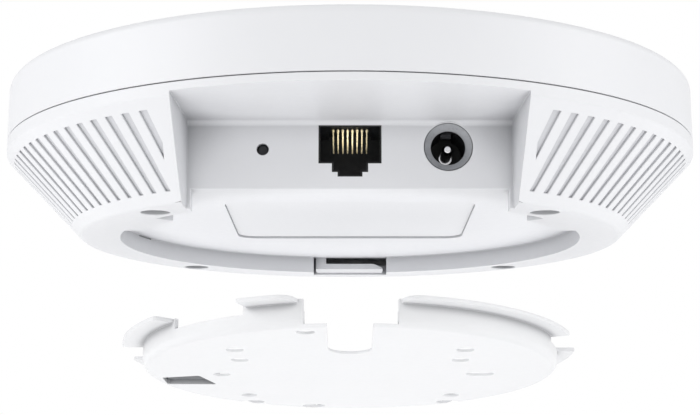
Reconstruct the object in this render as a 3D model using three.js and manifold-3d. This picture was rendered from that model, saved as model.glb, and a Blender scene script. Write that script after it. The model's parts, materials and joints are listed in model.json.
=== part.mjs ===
// Ceiling access point with its twist-lock mounting bracket, exploded below it.
// Millimetres, +Z towards the dome. The origin is the centre of the housing's back ring.
import * as THREE from "three";
import { mergeVertices } from "three/addons/utils/BufferGeometryUtils.js";
import Module from "manifold-3d";

const wasm = await Module();
wasm.setup();

// ---- driving dimensions ----
const GAP = 0.3; // clearance between neighbouring pieces
const WALL = 2; // shell thickness
const BODY_R = 80; // outer radius of the whole unit
const ROUND_SEGMENTS = 96; // facets round the big shells
const FACET_DEG = 360 / ROUND_SEGMENTS;

const RING_OUTER_R = 62.66; // where the skirt would meet the back plane
const RECESS_R = 53.7; // bracket recess
const RECESS_FLOOR_Z = 4.2;
const INNER_FLOOR_Z = 6;
const SKIRT_TOP_Z = 17.8;
const SEAM_Z = 20.6; // middle of the seam between housing and cover
const COVER_EDGE_Z = 34.2; // height of the cover's rim
const COVER_CROWN_Z = 35.4; // height of the cover's middle

const PORT_WALL_Y = -46.16;
const PORT_CEILING_Z = 18.8;
const PORT_HALF_WIDTH = 34.1; // at the port wall
const PORT_MOUTH_HALF_WIDTH = 35.8; // at the outer edge
const PORT_SHELL = 1.8;
const FRAME_X = 37.3; // edge of the plain strip beside the port recess, which clips the first slot
const MOUTH_HALF_WIDTH = 33.2; // where the bracket recess runs on to the port wall

const SLOT_FIRST_DEG = 31.48;
const SLOT_COUNT = 89;
const SLOT_LOW_Z = 2.3;
const SLOT_HIGH_Z = 16;
const SLOT_DEPTH = 0.8;
const SLOT_RIB = 2.62; // constant width of the rib between two slots

const WELL_R = 3.1;
const WELL_CIRCLE_R = 58.1;
const WELL_DEG = [45, 135, 225, 315];

const SCREW_HEAD_R = 2.7;
const SCREW_SHANK_R = 1.35;
const SCREW_LOW_Z = 4.8;
const SCREW_SEAT_Z = 6.9;
const SCREW_TIP_Z = 18;
const DRIVE_HALF_SIZE = [1.6, 0.35]; // arms of the screws' cross recess
const DRIVE_TOP_Z = 5.9;

const TAB_INNER_R = 49.35;
const TAB_START_DEG = 51;
const TAB_END_Y = -17.5;
const TAB_OUTER_DEG = 71; // far end of the tab at the recess wall
const TAB_THICK = 1.4;

const NOTCH_X = [-9.8, 9.8]; // latch notch in the far wall of the recess
const NOTCH_Y = [51, 57.4];
const NOTCH_SLOT_X = -6.46; // left end of the open slot over the latch ledge
const NOTCH_SLOT_DEPTH_Y = 61;
const LEDGE_X = [-9.2, 8.8];
const LEDGE_Y = [54.4, 59];
const LEDGE_Z = [0.5, 2.55];
const LEDGE_CORNER = [6.2, 1.2]; // X where the ledge's top starts to drop, and Z where it ends
const LATCH_WALL = [-12, 12, 52, 59.4]; // solid wall behind the notch: X and Y

const JACK_HALF_WIDTH = 6.6;
const JACK_TOP_Z = 17.8;
const JACK_BOTTOM_Z = 9.64;
const JACK_STEPS = [
  { halfWidth: 3.8, z: 7.8 },
  { halfWidth: 2.6, z: 6.83 },
];
const CONTACT_PITCH = 1.02;
const CONTACT_COUNT = 8;

const POWER_X = 20.5;
const POWER_Z = 13.2;
const POWER_HOLE_R = 5.05;
const POWER_BORE_R = 3.7;
const POWER_PIN_R = 1.15;

const RESET_X = -18.28;
const RESET_Z = 12.69;
const RESET_HOLE_R = 1.25;

const BOARD_BOTTOM_Z = 19.6;
const BOARD_TOP_Z = 21.2;
const BOARD_R = 71;
const PARTS_Z = BOARD_TOP_Z + GAP; // underside of what stands on the board
const BOARD_POSTS = [
  [-46, 30],
  [46, 30],
  [-50, -20],
  [50, -20],
];

const LABEL_HALF_WIDTH = 27.6;
const LABEL_NEAR_Y = -31;
const LABEL_FAR_Y = 18.3;
const LABEL_CORNER_R = 3;
const LABEL_POCKET_DEPTH = 0.7;

const BRACKET_R = 48;
const BRACKET_Z = -30.58; // centre of the plate's back face
const BRACKET_LEAN_DEG = 7.36; // the side by the ports hangs higher
const BRACKET_PLATE = 0.8;
const BRACKET_EDGE = 1.1; // chamfer under the plate's edge
const BRACKET_RIM_Z = 3.6;
const RIM_WIDTH = 1.6;
const RIM_GAP_DEG = [-11.5, 12.2]; // no rim here, on both sides of the cable notch
const LIP_LOW_Z = 5;
const LIP_HIGH_Z = 5.95;
const LIP_R = 52.8;
const CABLE_NOTCH_HALF_WIDTH = 4.75;
const CABLE_NOTCH_Y = -25.1;

// ---- materials ----
const material = (color, roughness, metalness = 0) =>
  new THREE.MeshStandardMaterial({ color, roughness, metalness });
const whitePlastic = material(0xf1f1f3, 0.45);
const bracketPlastic = material(0xf3f3f5, 0.5);
const labelWhite = material(0xf4f4f4, 0.6);
const blackPlastic = material(0x0d0d10, 0.4);
const greyPlastic = material(0x7d8086, 0.35);
const gold = material(0xc9a54e, 0.25, 1);
const chrome = material(0xd8d8dc, 0.12, 1);
const steel = material(0xa7a9ad, 0.35, 1);
const aluminium = material(0xc3c6ca, 0.4, 1);
const boardGreen = material(0x17432c, 0.5);
const chipBlack = material(0x1b1b1e, 0.55);
const padBlue = material(0x7f93b0, 0.8);
const clearPlastic = material(0xe6eef2, 0.15);
const ledWhite = material(0xfff4d0, 0.3);

// ---- solids ----
const solidOf = (geometry) => {
  const plain = geometry.index ? geometry.toNonIndexed() : geometry;
  plain.deleteAttribute("normal");
  plain.deleteAttribute("uv");
  const merged = mergeVertices(plain, 1e-4);
  return new wasm.Manifold(
    new wasm.Mesh({
      numProp: 3,
      vertProperties: new Float32Array(merged.attributes.position.array),
      triVerts: new Uint32Array(merged.index.array),
    }),
  );
};

const geometryOf = (solid) => {
  const mesh = solid.getMesh();
  const geometry = new THREE.BufferGeometry();
  const places = new Float32Array(mesh.vertProperties);
  geometry.setAttribute("position", new THREE.BufferAttribute(places, 3));
  geometry.setIndex(new THREE.BufferAttribute(new Uint32Array(mesh.triVerts), 1));
  geometry.computeVertexNormals();
  return geometry;
};

const cut = (solid, ...tools) => tools.reduce((rest, tool) => rest.subtract(tool), solid);
const join = (solid, ...others) => others.reduce((whole, other) => whole.add(other), solid);
const radians = THREE.MathUtils.degToRad;

// Azimuth runs from the port side (-Y) towards +X.
const around = (radius, degrees) => [
  radius * Math.sin(radians(degrees)),
  -radius * Math.cos(radians(degrees)),
];

const block = (x0, x1, y0, y1, z0, z1) => {
  const box = new THREE.BoxGeometry(x1 - x0, y1 - y0, z1 - z0);
  return solidOf(box.translate((x0 + x1) / 2, (y0 + y1) / 2, (z0 + z1) / 2));
};

// A closed outline of [radius, z] pairs, listed anticlockwise, turned about Z.
const turned = (outline, segments = ROUND_SEGMENTS) => {
  const points = outline.map(([r, z]) => new THREE.Vector2(r, z));
  if (outline[0][0] > 0) points.push(points[0].clone());
  return solidOf(new THREE.LatheGeometry(points, segments).rotateX(Math.PI / 2));
};

const upright = (radius, x, y, z0, z1, segments = 24) => {
  const rod = new THREE.CylinderGeometry(radius, radius, z1 - z0, segments);
  return solidOf(rod.rotateX(Math.PI / 2).translate(x, y, (z0 + z1) / 2));
};

const alongY = (radius, x, z, y0, y1, segments = 32, endRadius = radius) => {
  const rod = new THREE.CylinderGeometry(endRadius, radius, y1 - y0, segments);
  return solidOf(rod.translate(x, (y0 + y1) / 2, z));
};

const prism = (points, z0, z1) => {
  const shape = new THREE.Shape(points.map(([x, y]) => new THREE.Vector2(x, y)));
  const body = new THREE.ExtrudeGeometry(shape, { depth: z1 - z0, bevelEnabled: false });
  return solidOf(body.translate(0, 0, z0));
};

// Part of a flat ring between two radii and two azimuths, with its corners on the shells' own facets.
const sector = (r0, r1, from, to, z0, z1) => {
  const angles = [from];
  const first = Math.floor(from / FACET_DEG) + 1;
  for (let i = first; i * FACET_DEG < to; i += 1) angles.push(i * FACET_DEG);
  angles.push(to);
  const inner = angles.map((a) => around(r0, a));
  const outer = angles.map((a) => around(r1, a)).reverse();
  return prism([...inner, ...outer], z0, z1);
};

const roundedRectangle = (x0, x1, y0, y1, radius, z0, z1) => {
  const shape = new THREE.Shape();
  shape.moveTo(x0 + radius, y0);
  shape.lineTo(x1 - radius, y0);
  shape.absarc(x1 - radius, y0 + radius, radius, -Math.PI / 2, 0);
  shape.lineTo(x1, y1 - radius);
  shape.absarc(x1 - radius, y1 - radius, radius, 0, Math.PI / 2);
  shape.lineTo(x0 + radius, y1);
  shape.absarc(x0 + radius, y1 - radius, radius, Math.PI / 2, Math.PI);
  shape.lineTo(x0, y0 + radius);
  shape.absarc(x0 + radius, y0 + radius, radius, Math.PI, Math.PI * 1.5);
  const form = { depth: z1 - z0, bevelEnabled: false, curveSegments: 5 };
  return solidOf(new THREE.ExtrudeGeometry(shape, form).translate(0, 0, z0));
};

const unit = new THREE.Group();
const bracketGroup = new THREE.Group();
bracketGroup.position.set(0, 0, BRACKET_Z);
bracketGroup.rotation.x = -radians(BRACKET_LEAN_DEG);
unit.add(bracketGroup);

const addPiece = (name, solid, finish, group = unit) => {
  const piece = new THREE.Mesh(geometryOf(solid), finish);
  piece.name = name;
  group.add(piece);
};

// ---- rear housing ----
const skirtSlope = SKIRT_TOP_Z / (BODY_R - RING_OUTER_R); // rise of the skirt per mm of radius
const skirtRadius = (z) => RING_OUTER_R + z / skirtSlope;

const portOutline = (grow) => [
  [-PORT_HALF_WIDTH - grow, PORT_WALL_Y + grow],
  [-PORT_MOUTH_HALF_WIDTH - grow, -BODY_R - 12],
  [PORT_MOUTH_HALF_WIDTH + grow, -BODY_R - 12],
  [PORT_HALF_WIDTH + grow, PORT_WALL_Y + grow],
];

// One tapered slot cutter, lying on the skirt at azimuth 0 and turned to its place.
const slotCutter = (degrees) => {
  const pitch = radians((360 - 2 * SLOT_FIRST_DEG) / (SLOT_COUNT - 1));
  const lowHalf = (skirtRadius(SLOT_LOW_Z) * pitch - SLOT_RIB) / 2;
  const highHalf = (skirtRadius(SLOT_HIGH_Z) * pitch - SLOT_RIB) / 2;
  const rise = SLOT_HIGH_Z - SLOT_LOW_Z;
  const length = Math.hypot(rise, rise / skirtSlope);
  const cutter = prism(
    [
      [-lowHalf, 0],
      [lowHalf, 0],
      [highHalf, length],
      [-highHalf, length],
    ],
    -SLOT_DEPTH,
    0.6,
  );
  const up = new THREE.Vector3(0, -1, skirtSlope).normalize();
  const side = new THREE.Vector3(1, 0, 0);
  const out = new THREE.Vector3().crossVectors(side, up);
  const place = new THREE.Matrix4().makeBasis(side, up, out);
  place.setPosition(0, -skirtRadius(SLOT_LOW_Z), SLOT_LOW_Z);
  const turn = new THREE.Matrix4().makeRotationZ(radians(degrees));
  return cutter.transform(turn.multiply(place).toArray());
};

// The plain strip beside the port recess clips the first and the last slot.
const skirtSlots = () => {
  const pitch = (360 - 2 * SLOT_FIRST_DEG) / (SLOT_COUNT - 1);
  const strip = block(-FRAME_X, FRAME_X, -BODY_R - 5, -40, -1, SEAM_Z);
  let slots = slotCutter(SLOT_FIRST_DEG).add(slotCutter(-SLOT_FIRST_DEG)).subtract(strip);
  for (let i = 1; i < SLOT_COUNT - 1; i += 1) slots = slots.add(slotCutter(SLOT_FIRST_DEG + i * pitch));
  return slots;
};

const bayonetTab = (side) => {
  const endDeg = THREE.MathUtils.radToDeg(Math.acos(-TAB_END_Y / TAB_INNER_R));
  const steps = 8;
  const inner = Array.from({ length: steps + 1 }, (_, i) =>
    around(TAB_INNER_R, TAB_START_DEG + ((endDeg - TAB_START_DEG) * i) / steps),
  );
  const farX = Math.sqrt((RECESS_R + 0.5) ** 2 - TAB_END_Y ** 2);
  const outer = Array.from({ length: steps + 1 }, (_, i) =>
    around(RECESS_R + 0.5, TAB_OUTER_DEG + ((TAB_START_DEG - TAB_OUTER_DEG) * i) / steps),
  );
  const outline = [...inner, [farX, TAB_END_Y], ...outer];
  const mirrored = outline.map(([x, y]) => [-x, y]).reverse();
  return prism(side > 0 ? outline : mirrored, 0, TAB_THICK);
};

const housingShell = () => {
  const edge = BODY_R - WALL;
  const innerSkirt = (z) => skirtRadius(z) - WALL * Math.hypot(1, 1 / skirtSlope);
  const outside = turned([
    [0, 0],
    [RING_OUTER_R - 1.1, 0],
    [RING_OUTER_R + 0.44, 0.45],
    [BODY_R, SKIRT_TOP_Z],
    [BODY_R, SEAM_Z - GAP / 2],
    [0, SEAM_Z - GAP / 2],
  ]);
  const inside = turned([
    [0, INNER_FLOOR_Z],
    [RECESS_R + 1.9, INNER_FLOOR_Z],
    [RECESS_R + 1.9, WALL],
    [innerSkirt(WALL), WALL],
    [edge, (edge - innerSkirt(0)) * skirtSlope],
    [edge, SEAM_Z + 1],
    [0, SEAM_Z + 1],
  ]);
  const portShell = prism(portOutline(PORT_SHELL), -1, SEAM_Z + 1);
  const mouthFloor = block(-PORT_HALF_WIDTH - WALL, PORT_HALF_WIDTH + WALL, -48, -42, -1, INNER_FLOOR_Z);
  const latchWall = block(...LATCH_WALL, -1, INNER_FLOOR_Z + 0.5);
  return outside.subtract(cut(inside, portShell, mouthFloor, latchWall));
};

const screwWellTubes = () =>
  WELL_DEG.map((a) => {
    const [x, y] = around(WELL_CIRCLE_R, a);
    return upright(WELL_R + 1.3, x, y, 0.6, 9, 28);
  });

const screwWellBores = () =>
  WELL_DEG.flatMap((a) => {
    const [x, y] = around(WELL_CIRCLE_R, a);
    return [upright(WELL_R, x, y, -1, 7.2, 28), upright(1.7, x, y, 7, 10, 16)];
  });

const jackOpening = (y0, y1, grow = 0) => {
  const box = (halfWidth, z0) =>
    block(-halfWidth - grow, halfWidth + grow, y0, y1, z0 - grow, JACK_TOP_Z + grow);
  return join(
    box(JACK_HALF_WIDTH, JACK_BOTTOM_Z),
    ...JACK_STEPS.map((step) => box(step.halfWidth, step.z)),
  );
};

// A pocket that leaves the ledge standing, with a slot over the ledge into the housing.
const latchNotch = () => {
  const opening = block(...NOTCH_X, ...NOTCH_Y, -1, RECESS_FLOOR_Z);
  const [x0, x1] = LEDGE_X;
  const [z0, z1] = LEDGE_Z;
  const ledge = prism(
    [
      [x0, z0],
      [x1, z0],
      [x1, LEDGE_CORNER[1]],
      [(x1 + LEDGE_CORNER[0]) / 2, z1 - 0.25],
      [LEDGE_CORNER[0], z1],
      [NOTCH_SLOT_X, z1],
      [NOTCH_SLOT_X, RECESS_FLOOR_Z + 1],
      [x0, RECESS_FLOOR_Z + 1],
    ],
    -LEDGE_Y[1],
    -LEDGE_Y[0],
  ).rotate([90, 0, 0]);
  const slot = block(NOTCH_SLOT_X, NOTCH_X[1], NOTCH_Y[0], NOTCH_SLOT_DEPTH_Y, LEDGE_Z[1], RECESS_FLOOR_Z);
  return join(opening.subtract(ledge), slot);
};

const makeHousing = () => {
  const recess = turned([
    [0, -1],
    [RECESS_R, -1],
    [RECESS_R, RECESS_FLOOR_Z],
    [0, RECESS_FLOOR_Z],
  ]);
  const mouth = block(-MOUTH_HALF_WIDTH, MOUTH_HALF_WIDTH, PORT_WALL_Y - 1, -40, -1, RECESS_FLOOR_Z);
  const labelPocket = roundedRectangle(
    -LABEL_HALF_WIDTH,
    LABEL_HALF_WIDTH,
    LABEL_NEAR_Y,
    LABEL_FAR_Y,
    LABEL_CORNER_R,
    RECESS_FLOOR_Z - 1,
    RECESS_FLOOR_Z + LABEL_POCKET_DEPTH,
  );
  const cornerPockets = [-1, 1].map((side) => {
    const corners = [
      [41.5, -34],
      [38.3, -31],
      [37.2, -38.4],
    ];
    const mirrored = corners.map(([x, y]) => [side * x, y]);
    return prism(side > 0 ? mirrored : mirrored.reverse(), 3, RECESS_FLOOR_Z + 1.3);
  });
  const middle = (PORT_WALL_Y * 2 + PORT_SHELL) / 2;
  const through = [middle - 2, middle + 2];
  let housing = cut(housingShell(), prism(portOutline(0), -1, PORT_CEILING_Z), recess, mouth);
  housing = join(housing, bayonetTab(1), bayonetTab(-1), ...screwWellTubes());
  const posts = BOARD_POSTS.map(([x, y]) => upright(3, x, y, INNER_FLOOR_Z - 0.5, BOARD_BOTTOM_Z - GAP));
  housing = join(housing, ...posts);
  const pilots = BOARD_POSTS.map(([x, y]) => upright(1.2, x, y, 12, BOARD_BOTTOM_Z, 12));
  return cut(
    housing,
    ...screwWellBores(),
    ...pilots,
    ...cornerPockets,
    labelPocket,
    latchNotch(),
    skirtSlots(),
    jackOpening(...through),
    alongY(POWER_HOLE_R, POWER_X, POWER_Z, ...through),
    alongY(RESET_HOLE_R, RESET_X, RESET_Z, ...through, 24),
  );
};

// ---- front cover ----
const makeCover = () => {
  const corner = 2;
  const topR = BODY_R - 0.15 - corner;
  const arc = [0, 45, 90].map((a) => [
    topR + corner * Math.cos(radians(a)),
    COVER_EDGE_Z - corner + corner * Math.sin(radians(a)),
  ]);
  const shell = turned([
    [BODY_R - WALL, SEAM_Z + GAP / 2],
    [BODY_R, SEAM_Z + GAP / 2],
    ...arc,
    [0, COVER_CROWN_Z],
    [0, COVER_CROWN_Z - WALL],
    [topR, COVER_EDGE_Z - WALL],
    [BODY_R - WALL - 0.15, COVER_EDGE_Z - WALL - 0.6],
  ]);
  const lip = turned([
    [BODY_R - 4.3, SEAM_Z - 2],
    [BODY_R - WALL - GAP, SEAM_Z - 2],
    [BODY_R - WALL - GAP, SEAM_Z + 0.6],
    [BODY_R - 1.6, SEAM_Z + 0.6],
    [BODY_R - 1.6, SEAM_Z + 2.4],
    [BODY_R - 4.3, SEAM_Z + 2.4],
  ]);
  const lipGap = block(-39, 39, -BODY_R - 2, -30, SEAM_Z - 3, SEAM_Z + GAP / 2);
  const posts = WELL_DEG.map((a) => {
    const [x, y] = around(WELL_CIRCLE_R, a);
    return upright(3, x, y, 9.3, COVER_EDGE_Z - 1, 20);
  });
  const bores = WELL_DEG.map((a) => {
    const [x, y] = around(WELL_CIRCLE_R, a);
    return upright(1.7, x, y, 9, 20, 16);
  });
  const lightHole = upright(1.5, 0, -58, COVER_EDGE_Z - 4, COVER_CROWN_Z + 1, 20);
  return cut(join(shell, lip.subtract(lipGap), ...posts), ...bores, lightHole);
};

addPiece("rear_housing", makeHousing(), whitePlastic);
addPiece("front_cover", makeCover(), whitePlastic);

// ---- blank rating label ----
addPiece(
  "rating_label",
  roundedRectangle(
    -LABEL_HALF_WIDTH + GAP,
    LABEL_HALF_WIDTH - GAP,
    LABEL_NEAR_Y + GAP,
    LABEL_FAR_Y - GAP,
    LABEL_CORNER_R - GAP,
    RECESS_FLOOR_Z + 0.05,
    RECESS_FLOOR_Z + 0.4,
  ),
  labelWhite,
);

// ---- case screws, heads down in their wells ----
WELL_DEG.forEach((a, i) => {
  const [x, y] = around(WELL_CIRCLE_R, a);
  const head = upright(SCREW_HEAD_R, x, y, SCREW_LOW_Z, SCREW_SEAT_Z, 20);
  const shank = upright(SCREW_SHANK_R, x, y, SCREW_SEAT_Z - 0.1, SCREW_TIP_Z, 12);
  const [long, short] = DRIVE_HALF_SIZE;
  const drive = block(x - long, x + long, y - short, y + short, 4, DRIVE_TOP_Z);
  const cross = block(x - short, x + short, y - long, y + long, 4, DRIVE_TOP_Z);
  addPiece(`case_screw_${i + 1}`, cut(join(head, shank), drive, cross), steel);
});

// ---- main board and what stands on it ----
const makeBoard = () => {
  const disc = upright(BOARD_R, 0, 0, BOARD_BOTTOM_Z, BOARD_TOP_Z, 72);
  const portSide = block(-39, 39, -BODY_R, PORT_WALL_Y + PORT_SHELL + GAP, 10, 30);
  const postHoles = WELL_DEG.map((a) => {
    const [x, y] = around(WELL_CIRCLE_R, a);
    return upright(3.8, x, y, 10, 30, 20);
  });
  const screwHoles = BOARD_POSTS.map(([x, y]) => upright(1.5, x, y, 10, 30, 16));
  return cut(disc, portSide, ...postHoles, ...screwHoles);
};
addPiece("main_board", makeBoard(), boardGreen);

BOARD_POSTS.forEach(([x, y], i) => {
  const head = upright(2.6, x, y, PARTS_Z, PARTS_Z + 1.5, 16);
  const shank = upright(0.85, x, y, 13, PARTS_Z + 0.2, 10);
  addPiece(`board_screw_${i + 1}`, join(head, shank), steel);
});

const addChip = (name, x, y, width, depth, height) =>
  addPiece(
    name,
    block(x - width / 2, x + width / 2, y - depth / 2, y + depth / 2, PARTS_Z, PARTS_Z + height),
    chipBlack,
  );
addChip("processor", -16, 12, 15, 15, 1.4);
addChip("flash_memory", -16, 32, 8, 6, 1.2);
addChip("radio_chip_2g", 16, 3, 9, 9, 1.1);
addChip("radio_chip_5g", 16, 22, 10, 10, 1.1);
addChip("ethernet_magnetics", 0, -30, 17, 12, 5.6);

// Shielding cans are open at the bottom, over the chips.
const addCan = (name, x0, x1, y0, y1) => {
  const top = PARTS_Z + 3;
  const outer = block(x0, x1, y0, y1, PARTS_Z, top);
  const inner = block(x0 + 0.4, x1 - 0.4, y0 + 0.4, y1 - 0.4, PARTS_Z - 1, top - 0.4);
  addPiece(name, outer.subtract(inner), steel);
};
addCan("shield_can_processor", -28, -4, 0, 24);
addCan("shield_can_radio", 4, 28, -5, 31);

const padZ = PARTS_Z + 3 + GAP;
addPiece("thermal_pad_processor", block(-23, -9, 5, 19, padZ, padZ + 1), padBlue);
addPiece("thermal_pad_radio", block(9, 23, 0, 26, padZ, padZ + 1), padBlue);

const makeSpreader = () => {
  const z0 = padZ + 1 + GAP;
  const plate = roundedRectangle(-36, 36, -14, 44, 5, z0, z0 + 1.5);
  const ribs = [-24, -12, 0, 12, 24].map((x) => block(x - 0.6, x + 0.6, -8, 38, z0 + 1.4, z0 + 4));
  return join(plate, ...ribs);
};
addPiece("heat_spreader", makeSpreader(), aluminium);

[-22, 22].forEach((x, i) => {
  addPiece(`storage_capacitor_${i + 1}`, upright(3.6, x, -28, PARTS_Z, PARTS_Z + 7.5), aluminium);
});

// Stamped antenna: a foot on the board, an upright web and a folded top arm.
const addAntenna = (name, degrees, length, height) => {
  const foot = block(-3, 3, -1.5, 3, 0, 0.6);
  const web = block(-3, 3, -1.5, -0.9, 0, height);
  const arm = block(-3, length - 3, -1.5, 2.5, height - 0.6, height);
  const tip = block(length - 3.6, length - 3, -1.5, 2.5, height - 3, height);
  const whole = join(foot, web, arm, tip);
  const turn = new THREE.Matrix4().makeRotationZ(radians(degrees));
  const [x, y] = around(64, degrees);
  addPiece(name, whole.transform(turn.setPosition(x, y, PARTS_Z).toArray()), steel);
};
addAntenna("antenna_2g_left", -112, 24, 7.5);
addAntenna("antenna_2g_right", 95, 24, 7.5);
addAntenna("antenna_5g_left", -165, 13, 6);
addAntenna("antenna_5g_right", 160, 13, 6);

// ---- status light ----
addPiece("status_led", block(-1, 1, -43, -41.4, PARTS_Z, PARTS_Z + 0.7), ledWhite);
const makeLightPipe = () => {
  const base = block(-1.1, 1.1, -43.2, -41.2, PARTS_Z + 1, PARTS_Z + 3.2);
  const arm = block(-1.1, 1.1, -59.1, -41.2, PARTS_Z + 2, PARTS_Z + 4.2);
  const lens = upright(1.2, 0, -58, PARTS_Z + 2, COVER_EDGE_Z + 0.4, 20);
  return join(base, arm, lens);
};
addPiece("light_pipe", makeLightPipe(), clearPlastic);

// ---- ethernet jack ----
const JACK_FRONT_Y = PORT_WALL_Y + PORT_SHELL + GAP;
const JACK_DEPTH = 15.5;
const makeEthernetJack = () => {
  const back = JACK_FRONT_Y + JACK_DEPTH;
  const body = block(-7.8, 7.8, JACK_FRONT_Y, back, 6.33, BOARD_BOTTOM_Z - GAP);
  const contactSlot = block(-4.6, 4.6, JACK_FRONT_Y + 0.9, back - 2, JACK_TOP_Z - 1, 18.7);
  return cut(body, jackOpening(JACK_FRONT_Y - 1, back - 2, 0.15), contactSlot);
};
addPiece("ethernet_jack", makeEthernetJack(), blackPlastic);

const makeEthernetShield = () => {
  const back = JACK_FRONT_Y + JACK_DEPTH + GAP + 0.35;
  const outer = block(-8.45, 8.45, JACK_FRONT_Y + 1, back, 6.33, BOARD_BOTTOM_Z - GAP);
  const inner = block(-8.1, 8.1, JACK_FRONT_Y, back - 0.35, 6, BOARD_BOTTOM_Z);
  return outer.subtract(inner);
};
addPiece("ethernet_shield", makeEthernetShield(), steel);

// One spring contact: fixed at the front under the jack's roof, free end low at the back.
const makeContact = (x) => {
  const thick = 0.32;
  const profile = [
    [-42.6, 18.05],
    [-39.6, 17.75],
    [-34.4, 14.75],
    [-33.4, 14.85],
  ];
  const shape = new THREE.Shape();
  const upper = profile.map(([y, z]) => [y, z + thick]).reverse();
  shape.setFromPoints([...profile, ...upper].map(([y, z]) => new THREE.Vector2(y, z)));
  const strip = new THREE.ExtrudeGeometry(shape, { depth: 0.46, bevelEnabled: false });
  const place = new THREE.Matrix4().makeBasis(
    new THREE.Vector3(0, 1, 0),
    new THREE.Vector3(0, 0, 1),
    new THREE.Vector3(1, 0, 0),
  );
  return solidOf(strip.applyMatrix4(place.setPosition(x - 0.23, 0, 0)));
};
for (let i = 0; i < CONTACT_COUNT; i += 1) {
  const x = (i - (CONTACT_COUNT - 1) / 2) * CONTACT_PITCH;
  addPiece(`ethernet_contact_${i + 1}`, makeContact(x), gold);
}

// ---- power jack ----
const makePowerJack = () => {
  const body = block(POWER_X - 4.6, POWER_X + 4.6, JACK_FRONT_Y, -31.5, 8.2, BOARD_BOTTOM_Z - GAP);
  const bore = alongY(POWER_BORE_R, POWER_X, POWER_Z, JACK_FRONT_Y - 1, -34);
  const springSlot = block(POWER_X - 1.5, POWER_X + 1.5, JACK_FRONT_Y + 1.5, -34, 16, 18.4);
  const pinHole = alongY(POWER_PIN_R + GAP, POWER_X, POWER_Z, -35, -31, 20);
  return cut(body, bore, springSlot, pinHole);
};
addPiece("power_jack", makePowerJack(), blackPlastic);

const makeBezel = () => {
  const y0 = PORT_WALL_Y + 0.1;
  const y1 = PORT_WALL_Y + PORT_SHELL;
  const collar = alongY(POWER_HOLE_R - GAP, POWER_X, POWER_Z, y0, y1);
  const bore = alongY(POWER_BORE_R, POWER_X, POWER_Z, y0 - 1, y1 + 1);
  const bevel = alongY(POWER_HOLE_R - 0.4, POWER_X, POWER_Z, y0 - 0.05, y0 + 0.9, 32, POWER_BORE_R);
  return cut(collar, bore, bevel);
};
addPiece("power_jack_bezel", makeBezel(), greyPlastic);

const makePin = () => {
  const rod = alongY(POWER_PIN_R, POWER_X, POWER_Z, -42.6, -31.7, 20);
  const tip = alongY(0.6, POWER_X, POWER_Z, -43.3, -42.6, 20, POWER_PIN_R);
  return join(rod, tip);
};
addPiece("power_jack_pin", makePin(), chrome);

const springOutline = () => {
  const strip = block(POWER_X - 1.1, POWER_X + 1.1, -41.8, -35, 17.3, 17.6);
  const bump = block(POWER_X - 1.1, POWER_X + 1.1, -38.8, -37.8, 16.6, 17.4);
  return join(strip, bump);
};
addPiece("power_jack_spring", springOutline(), chrome);

// ---- reset switch and its plunger ----
const makeResetSwitch = () => {
  const body = block(RESET_X - 3, RESET_X + 3, -42, -38.4, RESET_Z - 3, RESET_Z + 3);
  const leg = block(RESET_X - 3, RESET_X + 3, -39.4, -38.4, RESET_Z, BOARD_BOTTOM_Z - GAP);
  const bore = alongY(1.3, RESET_X, RESET_Z, -43, -40.2, 20);
  return join(body, leg).subtract(bore);
};
addPiece("reset_switch", makeResetSwitch(), blackPlastic);
addPiece("reset_button", alongY(0.95, RESET_X, RESET_Z, -44.9, -41, 20), greyPlastic);

// ---- mounting bracket, in its own frame: back face at z = 0, lips up ----
const hooks = [
  { wall: [-27.8, -11.5], lip: [-27.3, -12.5] },
  { wall: [-82, -52.2], lip: [-85, -55.4] },
  { wall: [-128, -92], lip: [-128, -92] },
  { wall: [12.2, 70], lip: [13.2, 71.5] },
  { wall: [90, 128], lip: [90, 128] },
];

const bracketHoles = () => {
  const round = (x, y, r) => upright(r, x, y, -1, 3, 16);
  const slot = (x0, x1, y, r) =>
    join(round(x0, y, r), round(x1, y, r), block(x0, x1, y - r, y + r, -1, 3));
  const pairs = [
    [25.2, -24.2],
    [24.8, -13.6],
    [25.2, 28.6],
  ].flatMap(([x, y]) => [round(x, y, 1.95), round(-x, y, 1.95)]);
  return [
    ...pairs,
    round(-9.3, -41.6, 1.95),
    round(-30.1, 2.6, 2),
    slot(29.1, 31.7, 2.1, 1.95),
    slot(-25.6, -23.8, 37.8, 1.95),
    slot(24, 25.8, 37.8, 1.95),
    slot(-10.3, -8.3, 43.2, 1.9),
  ];
};

const makeBracket = () => {
  const inner = BRACKET_R - RIM_WIDTH;
  const plate = turned([
    [0, 0],
    [BRACKET_R - BRACKET_EDGE, 0],
    [BRACKET_R, BRACKET_EDGE],
    [BRACKET_R, BRACKET_RIM_Z],
    [inner, BRACKET_RIM_Z],
    [inner, BRACKET_PLATE],
    [0, BRACKET_PLATE],
  ]);
  const walls = hooks.map(({ wall }) => sector(inner, BRACKET_R, ...wall, BRACKET_PLATE, LIP_HIGH_Z));
  const lips = hooks.map(({ lip }) => sector(inner, LIP_R, ...lip, LIP_LOW_Z, LIP_HIGH_Z));
  const cable = join(
    block(-CABLE_NOTCH_HALF_WIDTH, CABLE_NOTCH_HALF_WIDTH, -60, CABLE_NOTCH_Y, -1, 8),
    upright(CABLE_NOTCH_HALF_WIDTH, 0, CABLE_NOTCH_Y, -1, 8, 28),
  );
  const window = prism(
    [
      [-44.4, 6.4],
      [-35.6, 4],
      [-32.2, 14.6],
      [-44, 14.2],
    ],
    -1,
    3,
  );
  const rimGap = sector(inner - 1, BRACKET_R + 1, ...RIM_GAP_DEG, BRACKET_PLATE, BRACKET_RIM_Z + 1);
  const latchGap = sector(inner - 1, LIP_R, 168.5, 191, BRACKET_PLATE, 9);
  const body = join(plate.subtract(rimGap), ...walls, ...lips);
  return cut(body, cable, window, latchGap, ...bracketHoles());
};
addPiece("mounting_bracket", makeBracket(), bracketPlastic, bracketGroup);

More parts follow.
